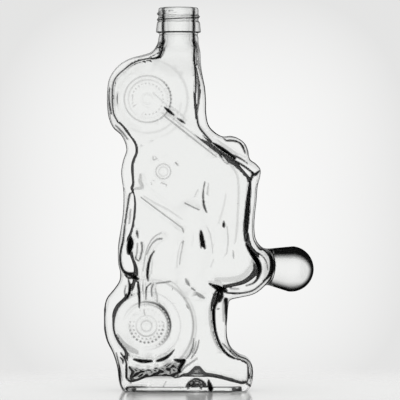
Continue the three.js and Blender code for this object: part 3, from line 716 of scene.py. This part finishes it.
def rider_relief():
    """Broad swellings, which the inner wall follows."""
    thigh = ridge_path([(7.5, 112), (11, 98), (10, 86), (7, 74)], half_width=14, height=3)
    arm = ridge_path([(30, 128), (33, 108), (31, 88)], half_width=9, height=0.9)
    seat = ridge_path([(3, 66), (12, 63), (22, 66)], half_width=8, height=0.7)
    return thigh + arm + seat


def frame_relief():
    """Fork, swing arm, exhaust pipe and the rider's shin across the frame."""
    fork = bar(FRONT_HUB, HANDLEBAR, half_width=3, height=0.9, edge=5)
    arm_left = bar((-22.6, 70), (-21.6, 45), half_width=1.8, height=0.8, edge=2.4)
    arm_right = bar((-16.4, 68), (-18.6, 45), half_width=1.8, height=0.8, edge=2.4)
    pipe = ridge_path([(-9.8, 99), (-15, 95.6), (-19, 87), (-20.8, 74)], half_width=3, height=1)
    shin = bar((-22.5, 126.6), (1.6, 107.8), half_width=4, height=0.8, edge=4)
    return fork + arm_left + arm_right + pipe + shin


def wavy_part():
    """1 by the rear wheel's foot, where the wall is wavy, and 0 elsewhere."""
    across = rise(map_x - WAVY_LEFT, 3) * rise(WAVY_RIGHT - map_x, 3)
    within = across * rise(map_z - WAVY_BOTTOM, 2) * rise(WAVY_TOP - map_z, 3)
    return within * rise(from_place(REAR_HUB) - WAVY_BEYOND_HUB, 1.5)


def wavy_foot():
    """Upright waves, bent by the height, and slanting ones across them."""
    waves = np.sin(map_x * 1.05 + 1.2 * np.sin(map_z * 0.9)) + 0.6 * np.sin(map_x * 0.5 - map_z * 1.3)
    return WAVE_HEIGHT * wavy_part() * waves


outer_edge = edge_distance(OUTER_EDGE)
inner_edge = edge_distance(INNER_EDGE)
outer_round = roundness(EDGE_ROUND, OUTER_ROUNDS)
inner_round = roundness(CAVITY_ROUND, INNER_ROUNDS)
paleness = roundness(0, PALE_EDGES)
swelling = wheel_relief(FRONT_HUB, FRONT_RIM_RADIUS) + wheel_relief(REAR_HUB, REAR_RIM_RADIUS)
swelling = softened(swelling + engine_relief() + frame_relief(), RELIEF_BLUR)
broad = softened(rider_relief(), BROAD_BLUR)
# Painted shade of the grooves, rings, dots and the wavy foot, which also sinks the surface a little
drawn = [groove(*line) for line in GROOVES.values()] + [ring_groove(*line) for line in RINGS]
fine = np.maximum.reduce(drawn + wheel_dots() + [WAVY_SHADE * wavy_part()])
near_fine = softened(fine, NEAR_GROOVE)
relief = swelling + broad - FINE_DEPTH * fine
inner_relief = softened(swelling, INNER_BLUR) * INNER_SHARE + INNER_BROAD_SHARE * broad
inner_relief = inner_relief * rise(-inner_edge - INNER_RELIEF_START, INNER_RELIEF_BEND) + wavy_foot()


def rounded(edge, y, half, round_):
    """Distance to a flat body of the given half depth whose edge is rounded."""
    across = edge + round_
    out = np.abs(y) - (half - round_)
    corner = np.hypot(np.maximum(across, 0), np.maximum(out, 0))
    return np.minimum(np.maximum(across, out), 0) + corner - round_


def joined(a, b, soft):
    """Two bodies as one, with a fillet between them."""
    share = np.clip(0.5 + 0.5 * (b - a) / soft, 0, 1)
    return b + (a - b) * share - soft * share * (1 - share)


def shared(a, b, soft):
    """What two bodies have in common, with a rounded edge."""
    return -joined(-a, -b, soft)


def below_neck(x, z):
    """0 in the body and 1 where it meets the neck, whose depth it takes there."""
    return rise(z - SHOULDER_MIDDLE, SHOULDER_HEIGHT) * rise(NECK_REACH - np.abs(x), NECK_REACH_BEND)


def thread_lift(x, y, z):
    turns = (THREAD_START - np.arctan2(y, x)) / (2 * math.pi)
    turns = turns - np.floor(turns)
    lift = 0
    for whole in (0, 1):
        turn = turns + whole
        fade = np.clip(np.minimum(turn, THREAD_TURNS - turn) / THREAD_FADE, 0, 1)
        middle = RIM_HEIGHT - THREAD_BELOW_RIM - THREAD_PITCH * turn
        lift = np.maximum(lift, fade * bump((z - middle) / (THREAD_WIDTH / 2)))
    return THREAD_LIFT * lift


def finish_radius(x, y, z):
    collar_top = COLLAR_BOTTOM + COLLAR_HEIGHT
    radius = FINISH_RADIUS + thread_lift(x, y, z)
    collar = rise(z - COLLAR_BOTTOM, COLLAR_FOOT_BEND) * rise(collar_top - z, COLLAR_TOP_BEND)
    flare = COLLAR_FLARE * np.clip((collar_top - z) / COLLAR_HEIGHT, 0, 1)
    radius = radius + collar * (COLLAR_LIFT + flare)
    from_groove = z - COLLAR_BOTTOM + FINISH_GROOVE_HEIGHT
    return radius - FINISH_GROOVE_DEPTH * bump(from_groove / FINISH_GROOVE_REACH)


def head_field(x, y, z):
    """The rider's nape and head, as a rounded cone from the one to the other."""
    gap, share = from_line(NAPE, HEAD, x, z)
    radius = NAPE_RADIUS + (HEAD_RADIUS - NAPE_RADIUS) * share
    return np.hypot(gap, y) - radius


def outer_field(x, y, z):
    from_axis = np.hypot(x, y)
    half = HALF_DEPTH + read_map(relief, x, z)
    half = half + (NECK_RADIUS - half) * below_neck(x, z)
    slab = rounded(read_map(outer_edge, x, z), y, half, read_map(outer_round, x, z))
    neck = shared(from_axis - finish_radius(x, y, z), z - RIM_HEIGHT, RIM_ROUND)
    neck = np.maximum(neck, SHOULDER_BOTTOM - z)
    return joined(joined(slab, neck, NECK_FILLET), head_field(x, y, z), HEAD_FILLET)


def floor_height(x, y):
    """The top of the glass floor, which is lower along the walls than in the middle."""
    walls = np.interp(x, *zip(*FLOOR_BY_WALLS))
    middle = np.interp(x, *zip(*FLOOR_MIDDLE))
    return walls + (middle - walls) * (1 - np.clip(y / FLOOR_HALF, -1, 1) ** 2)


def inner_field(x, y, z):
    half = HALF_DEPTH - FACE_WALL + read_map(inner_relief, x, z)
    half = half + (BORE_RADIUS - half) * below_neck(x, z)
    round_ = read_map(inner_round, x, z)
    chamber = rounded(read_map(inner_edge, x, z) - CAVITY_GROWTH * round_, y, half, round_)
    chamber = shared(chamber, floor_height(x, y) - z, FLOOR_FILLET)
    bore = np.hypot(x, y) - BORE_RADIUS
    return chamber + (bore - chamber) * rise(z - SHOULDER_TOP, BORE_BLEND)


def push_up_field(x, y, z):
    nearest = np.clip(x, RECESS_LEFT + RECESS_HALF, RECESS_RIGHT - RECESS_HALF)
    recess = shared(np.hypot(x - nearest, y) - RECESS_HALF, z - RECESS_HEIGHT, RECESS_SOFTNESS)
    dome = np.sqrt((x - DOME_MIDDLE) ** 2 + y**2 + (z / DOME_STRETCH) ** 2) - DOME_RADIUS
    return joined(recess, dome, DOME_FILLET)


def glass_field(x, y, z):
    glass = shared(outer_field(x, y, z), -inner_field(x, y, z), WALL_SOFTNESS)
    glass = shared(glass, -push_up_field(x, y, z), RECESS_SOFTNESS)
    return shared(glass, -z, FOOT_SOFTNESS)


def slope(x, y, z):
    """The way out of the glass at each place, as long as the field is steep."""
    e = SLOPE_REACH
    along_x = glass_field(x + e, y, z) - glass_field(x - e, y, z)
    along_y = glass_field(x, y + e, z) - glass_field(x, y - e, z)
    along_z = glass_field(x, y, z + e) - glass_field(x, y, z - e)
    return np.stack([along_x, along_y, along_z], 1) / (2 * e)


def surface():
    """The glass surface as rough points and faces, finer where it bends."""
    x, y, z = [np.arange(low, high, GRID_STEP) for low, high in zip(GRID_LOW, GRID_HIGH)]
    field = glass_field(x[:, None, None], y[None, :, None], z[None, None, :])
    grid = openvdb.FloatGrid(FIELD_REACH)
    grid.copyFromArray(np.clip(field, -FIELD_REACH, FIELD_REACH).astype(np.float32))
    points, triangles, quads = grid.convertToPolygons(0.0, FLATNESS)
    points = points.astype(float) * GRID_STEP + np.array(GRID_LOW)
    return points, quads.tolist() + triangles.tolist()


def refine(mesh):
    """Cuts the long edges along the front's fine grooves and where the surface starts to bend."""
    work = bmesh.new()
    work.from_mesh(mesh)
    for _ in range(REFINE_ROUNDS):
        work.verts.index_update()
        places = np.array([vertex.co for vertex in work.verts])
        ends = np.array([[vertex.index for vertex in edge.verts] for edge in work.edges])
        first, second = places[ends[:, 0]], places[ends[:, 1]]
        middle = (first + second) / 2
        length = np.linalg.norm(first - second, axis=1)
        traces = [read_map(near_fine, place[:, 0], place[:, 2]) for place in (first, middle, second)]
        on_front = (inner_field(*middle.T) > OUTER_SKIN) & (middle[:, 1] < 0)
        by_groove = (np.max(traces, axis=0) > GROOVE_TRACE) & on_front
        way = slope(*places.T)
        turn = np.linalg.norm(way[ends[:, 0]] - way[ends[:, 1]], axis=1)
        cut = by_groove & (length > GROOVE_LENGTH) | (turn > BEND_TURN) & (length > BEND_LENGTH)
        work.edges.ensure_lookup_table()
        chosen = [work.edges[i] for i in np.flatnonzero(cut)]
        if chosen:
            bmesh.ops.subdivide_edges(work, edges=chosen, cuts=1, use_grid_fill=True)
    work.to_mesh(mesh)
    work.free()


def onto_surface(points):
    """Moves points along the field's slope until they lie on the glass."""
    for _ in range(SETTLE_ROUNDS):
        way = slope(*points.T)
        off = glass_field(*points.T)
        steep = np.maximum((way**2).sum(1), LEAST_STEEPNESS)
        points = points - way * np.clip(off / steep, -SETTLE_STEP, SETTLE_STEP)[:, None]
    return points


def face_outwards(mesh, way):
    first = mesh.polygons[0]
    if np.dot(np.array(first.normal), way[first.vertices[0]]) < 0:
        mesh.flip_normals()


def vertex_value(mesh, name, values):
    made = mesh.attributes.new(name, "FLOAT", "POINT")
    made.data.foreach_set("value", values.astype(np.float32))


def shade_vertices(mesh, points, way):
    """Tells the material where grooves carry painted shade and where the painted edge shade is paler."""
    x, y, z = points.T
    from_hollow = rise(inner_field(x, y, z) - OUTER_SKIN, OUTER_SKIN_BEND)
    tone = np.clip(read_map(fine, x, z), 0, 1)
    on_front = 1 - (1 - tone) ** FRONT_POWER
    on_its_side = np.where(y < 0, on_front, BACK_SHARE * tone)
    square = rise(np.abs(way[:, 1]) - SQUARENESS, SQUARENESS_BEND)
    vertex_value(mesh, "painted_groove_shade", on_its_side * from_hollow * square)
    vertex_value(mesh, "pale_edge", np.clip(read_map(paleness, x, z), 0, PALEST) * from_hollow)


def glass_mesh():
    mesh = bpy.data.meshes.new("glass_bottle")
    points, faces = surface()
    mesh.from_pydata(points.tolist(), [], faces)
    refine(mesh)
    points = onto_surface(np.array([vertex.co for vertex in mesh.vertices]))
    way = slope(*points.T)
    way /= np.linalg.norm(way, axis=1, keepdims=True)
    placed = points * MM + np.array([axis_x, axis_y, 0])
    mesh.vertices.foreach_set("co", placed.ravel())
    mesh.update()
    mesh.validate()
    mesh.shade_smooth()
    face_outwards(mesh, way)
    mesh.normals_split_custom_set_from_vertices(way.tolist())
    shade_vertices(mesh, points, way)
    return mesh


def add_object(name, data):
    made = bpy.data.objects.new(name, data)
    bpy.context.scene.collection.objects.link(made)
    return made


class Tree:
    """Builds a shader's nodes, linking each to what feeds it."""

    def __init__(self, tree):
        self.nodes, self.links = tree.nodes, tree.links

    def add(self, kind, inputs=(), **values):
        made = self.nodes.new(kind)
        for name, value in values.items():
            setattr(made, name, value)
        for key, value in dict(inputs).items():
            self.feed(made.inputs[key], value)
        return made

    def feed(self, socket, value):
        if isinstance(value, bpy.types.NodeSocket):
            self.links.new(value, socket)
        else:
            socket.default_value = value

    def maths(self, operation, first, second=0.0):
        return self.add("ShaderNodeMath", {0: first, 1: second}, operation=operation).outputs[0]

    def ramp(self, value, low, high, at_low, at_high):
        """A smooth change from one value to another as its input goes from low to high."""
        made = self.add("ShaderNodeMapRange", {0: value, 1: low, 2: high, 3: at_low, 4: at_high})
        made.interpolation_type = "SMOOTHSTEP"
        return made.outputs[0]

    def mix(self, share, first, second):
        return self.add("ShaderNodeMix", {0: share, 2: first, 3: second}).outputs[0]

    def value(self, attribute):
        return self.add("ShaderNodeAttribute", attribute_name=attribute).outputs["Fac"]

    def parts(self, vector):
        return self.add("ShaderNodeSeparateXYZ", {0: vector}).outputs

    def finish(self, share, first, second):
        """Sends a mix of two shaders to the material's output."""
        inputs = {0: share, 1: first.outputs[0], 2: second.outputs[0]}
        both = self.add("ShaderNodeMixShader", inputs).outputs[0]
        self.links.new(both, self.nodes["Material Output"].inputs["Surface"])


def new_material(name):
    material = bpy.data.materials.new(name)
    material.use_nodes = True
    return material, Tree(material.node_tree)


GLASS_TINT = (0.975, 0.98, 0.975, 1)
GLASS_IOR = 1.5

# Glass goes dark where it turns so far from the line of sight that it bends the light past the bright
# backdrop; that dark is painted shade, mixed in as black. These are cosines of that turn, from outside
# and from inside, where glancing turns are clear.
BODY_TURNS = {"outside": (0.45, 0.72), "inside": (0.745, 0.87), "glancing": (0.26, 0.42)}
NECK_TURNS = {"outside": (0.10, 0.30), "inside": (0.70, 0.84), "glancing": (0.56, 0.70)}
HEAD_TURNS = {"outside": (0.40, 0.70), "inside": (0.60, 0.70), "glancing": (0.10, 0.20)}
FACE_TURNS = {"outside": (0.12, 0.34), "inside": (0.58, 0.74), "glancing": (0.26, 0.42)}

# Where the flat faces, the neck and the head take over: how squarely a face looks to the front or back,
# the height in metres, and the way from the neck's axis in millimetres
FACE_STARTS = (0.86, 0.97)
NECK_STARTS = (0.198, 0.210)
HEAD_STARTS = (59.5, 61.5)

# Painted shade: how far down the neck's undersides look dark, how much sooner the top of the head goes
# dark, and the light shade of glass that turns a little, from one cosine and tone to another
NECK_UNDERSIDE = (-0.7, -0.4)
HEAD_TOP_SHADE = 0.6
SOFT_SHADE = (0.80, 0.995, 0.07, 0.0)
DARKEST = 0.99


def darkness(tree, cosine, backfacing, turns):
    """How much painted shade a turned surface of the glass gets, seen from outside or from inside."""
    outside = tree.ramp(cosine, *turns["outside"], 1.0, 0.0)
    turned = tree.ramp(cosine, *turns["inside"], 1.0, 0.0)
    glancing = tree.ramp(cosine, *turns["glancing"], 0.0, 1.0)
    inside = tree.maths("MULTIPLY", turned, glancing)
    return tree.mix(backfacing, outside, inside)


def body_darkness(tree, cosine, backfacing, to_face):
    edge = darkness(tree, cosine, backfacing, BODY_TURNS)
    face = darkness(tree, cosine, backfacing, FACE_TURNS)
    return tree.mix(tree.ramp(to_face, *FACE_STARTS, 0.0, 1.0), edge, face)


def neck_darkness(tree, cosine, backfacing, up):
    dark = darkness(tree, cosine, backfacing, NECK_TURNS)
    # Painted shade on the undersides of the thread, seen from outside
    under = tree.ramp(up, *NECK_UNDERSIDE, 1.0, 0.0)
    from_outside = tree.maths("SUBTRACT", 1.0, backfacing)
    return tree.maths("MAXIMUM", dark, tree.maths("MULTIPLY", under, from_outside))


def head_darkness(tree, cosine, backfacing, up, to_face):
    # Painted shade that comes sooner on the top of the head
    upwards = tree.maths("MULTIPLY", tree.maths("MAXIMUM", up, 0.0), to_face)
    turned = tree.maths("SUBTRACT", cosine, tree.maths("MULTIPLY", upwards, HEAD_TOP_SHADE))
    return darkness(tree, turned, backfacing, HEAD_TURNS)


def glass_darkness(tree):
    """How black the glass looks at each place, as painted shade from its turn and its grooves."""
    facing = tree.add("ShaderNodeLayerWeight", {"Blend": 0.5}).outputs["Facing"]
    cosine = tree.maths("SUBTRACT", 1.0, facing)
    geometry = tree.add("ShaderNodeNewGeometry").outputs
    backfacing = geometry["Backfacing"]
    normal = tree.parts(geometry["Normal"])
    up = normal["Z"]
    to_face = tree.maths("ABSOLUTE", normal["Y"])
    place = tree.parts(tree.add("ShaderNodeTexCoord").outputs["Object"])
    neck = tree.ramp(place["Z"], *NECK_STARTS, 0.0, 1.0)
    head = tree.ramp(place["X"], *[axis_x + x * MM for x in HEAD_STARTS], 0.0, 1.0)
    body_dark = body_darkness(tree, cosine, backfacing, to_face)
    dark = tree.mix(neck, body_dark, neck_darkness(tree, cosine, backfacing, up))
    # The painted edge shade is lighter where the edge is pale
    dark = tree.maths("MULTIPLY", dark, tree.maths("SUBTRACT", 1.0, tree.value("pale_edge")))
    dark = tree.mix(head, dark, head_darkness(tree, cosine, backfacing, up, to_face))
    # A soft painted shade where the glass turns a little
    dark = tree.maths("MAXIMUM", dark, tree.ramp(cosine, *SOFT_SHADE))
    # Painted shade along the grooves
    dark = tree.maths("MAXIMUM", dark, tree.value("painted_groove_shade"))
    return tree.maths("MULTIPLY", dark, DARKEST)


def glass_material():
    material, tree = new_material("clear_glass")
    glass = tree.nodes["Principled BSDF"]
    glass.inputs["Base Color"].default_value = GLASS_TINT
    glass.inputs["Roughness"].default_value = 0
    glass.inputs["IOR"].default_value = GLASS_IOR
    glass.inputs["Transmission Weight"].default_value = 1
    # Painted shade: the glass is mixed with black by its darkness
    tree.finish(glass_darkness(tree), glass, tree.add("ShaderNodeBsdfDiffuse", {"Color": (0, 0, 0, 1)}))
    return material


bottle = add_object("glass_bottle", glass_mesh())
bottle.data.materials.append(glass_material())
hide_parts(*NODES)
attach(bottle, "root")


# The backdrop's brightness for the camera, which falls towards the picture's edges
BACKDROP_MIDDLE = 0.94
BACKDROP_FALL = 0.12
BACKDROP_LEAST = 0.78
BACKDROP_REACH = 0.056

# Its brightness through the glass: full up to one height, dim above another and less between the panels.
# The room is what lights the floor.
THROUGH_GLASS = 0.885
BRIGHT_BELOW = 0.35
DIM_ABOVE = 0.75
DIM_SHARE = 0.10
PANELS = 4.0
PANEL_GAP = (-1.0, -0.6)
BETWEEN_PANELS = 0.92
ROOM = 0.85
WORLD_COLOUR = (1, 1, 0.995, 1)


def world():
    """A pale backdrop, with a brightness each for the camera, the glass and the floor."""
    made = bpy.data.worlds.new("studio")
    bpy.context.scene.world = made
    made.use_nodes = True
    tree = Tree(made.node_tree)
    way = tree.parts(tree.add("ShaderNodeTexCoord").outputs["Generated"])
    level, aside = [tree.maths("ABSOLUTE", way[axis]) for axis in "ZX"]
    shares = [tree.maths("DIVIDE", part, BACKDROP_REACH) for part in (level, aside)]
    falls = tree.maths("ADD", *[tree.maths("POWER", share, 3) for share in shares])
    fall = tree.maths("MULTIPLY", falls, BACKDROP_FALL)
    seen = tree.maths("MAXIMUM", tree.maths("SUBTRACT", BACKDROP_MIDDLE, fall), BACKDROP_LEAST)
    height = tree.ramp(level, BRIGHT_BELOW, DIM_ABOVE, 1.0, DIM_SHARE)
    angle = tree.maths("ARCTAN2", way["X"], way["Y"])
    panels = tree.maths("COSINE", tree.maths("MULTIPLY", angle, PANELS))
    sides = tree.ramp(panels, *PANEL_GAP, BETWEEN_PANELS, 1.0)
    through = tree.maths("MULTIPLY", tree.maths("MULTIPLY", height, sides), THROUGH_GLASS)
    path = tree.add("ShaderNodeLightPath")
    bent = tree.maths("MAXIMUM", path.outputs["Is Transmission Ray"], path.outputs["Is Glossy Ray"])
    light = tree.mix(bent, ROOM, through)
    light = tree.mix(path.outputs["Is Camera Ray"], light, seen)
    background = tree.nodes["Background"]
    background.inputs["Color"].default_value = WORLD_COLOUR
    tree.links.new(light, background.inputs["Strength"])


CAMERA_PLACE = (-0.0057, -2.2, 0.1219)
LENS = 309.4
SENSOR = 36


def camera():
    data = bpy.data.cameras.new("camera")
    made = add_object("camera", data)
    made.location = CAMERA_PLACE
    made.rotation_euler = (math.radians(90), 0, 0)
    data.lens = LENS
    data.sensor_width = SENSOR
    data.dof.use_dof = False
    bpy.context.scene.camera = made


FLOOR_REACH = 0.34
FLOOR_FULL = 0.09
FLOOR_CORNERS = 64
FLOOR_COLOUR = (0.86, 0.86, 0.855, 1)
FLOOR_ROUGHNESS = 0.12


def floor():
    """A pale, slightly glossy floor that fades into the backdrop."""
    turns = [2 * math.pi * i / FLOOR_CORNERS for i in range(FLOOR_CORNERS)]
    corners = [(FLOOR_REACH * math.cos(turn), FLOOR_REACH * math.sin(turn), 0) for turn in turns]
    mesh = bpy.data.meshes.new("floor")
    mesh.from_pydata(corners, [], [range(FLOOR_CORNERS)])
    material, tree = new_material("floor")
    place = tree.add("ShaderNodeTexCoord").outputs["Object"]
    away = tree.add("ShaderNodeVectorMath", {0: place}, operation="LENGTH").outputs["Value"]
    share = tree.ramp(away, FLOOR_FULL, FLOOR_REACH, 1.0, 0.0)
    pale = tree.nodes["Principled BSDF"]
    pale.inputs["Base Color"].default_value = FLOOR_COLOUR
    pale.inputs["Roughness"].default_value = FLOOR_ROUGHNESS
    tree.finish(share, tree.add("ShaderNodeBsdfTransparent"), pale)
    mesh.materials.append(material)
    made = add_object("floor", mesh)


# Bounces enough for light to cross both walls and the head many times
GLASS_BOUNCES = 24
GLOSSY_BOUNCES = 8

world()
camera()
floor()
scene = bpy.context.scene
scene.view_settings.view_transform = "Standard"
scene.cycles.max_bounces = GLASS_BOUNCES
scene.cycles.transmission_bounces = GLASS_BOUNCES
scene.cycles.transparent_max_bounces = GLASS_BOUNCES
scene.cycles.glossy_bounces = GLOSSY_BOUNCES
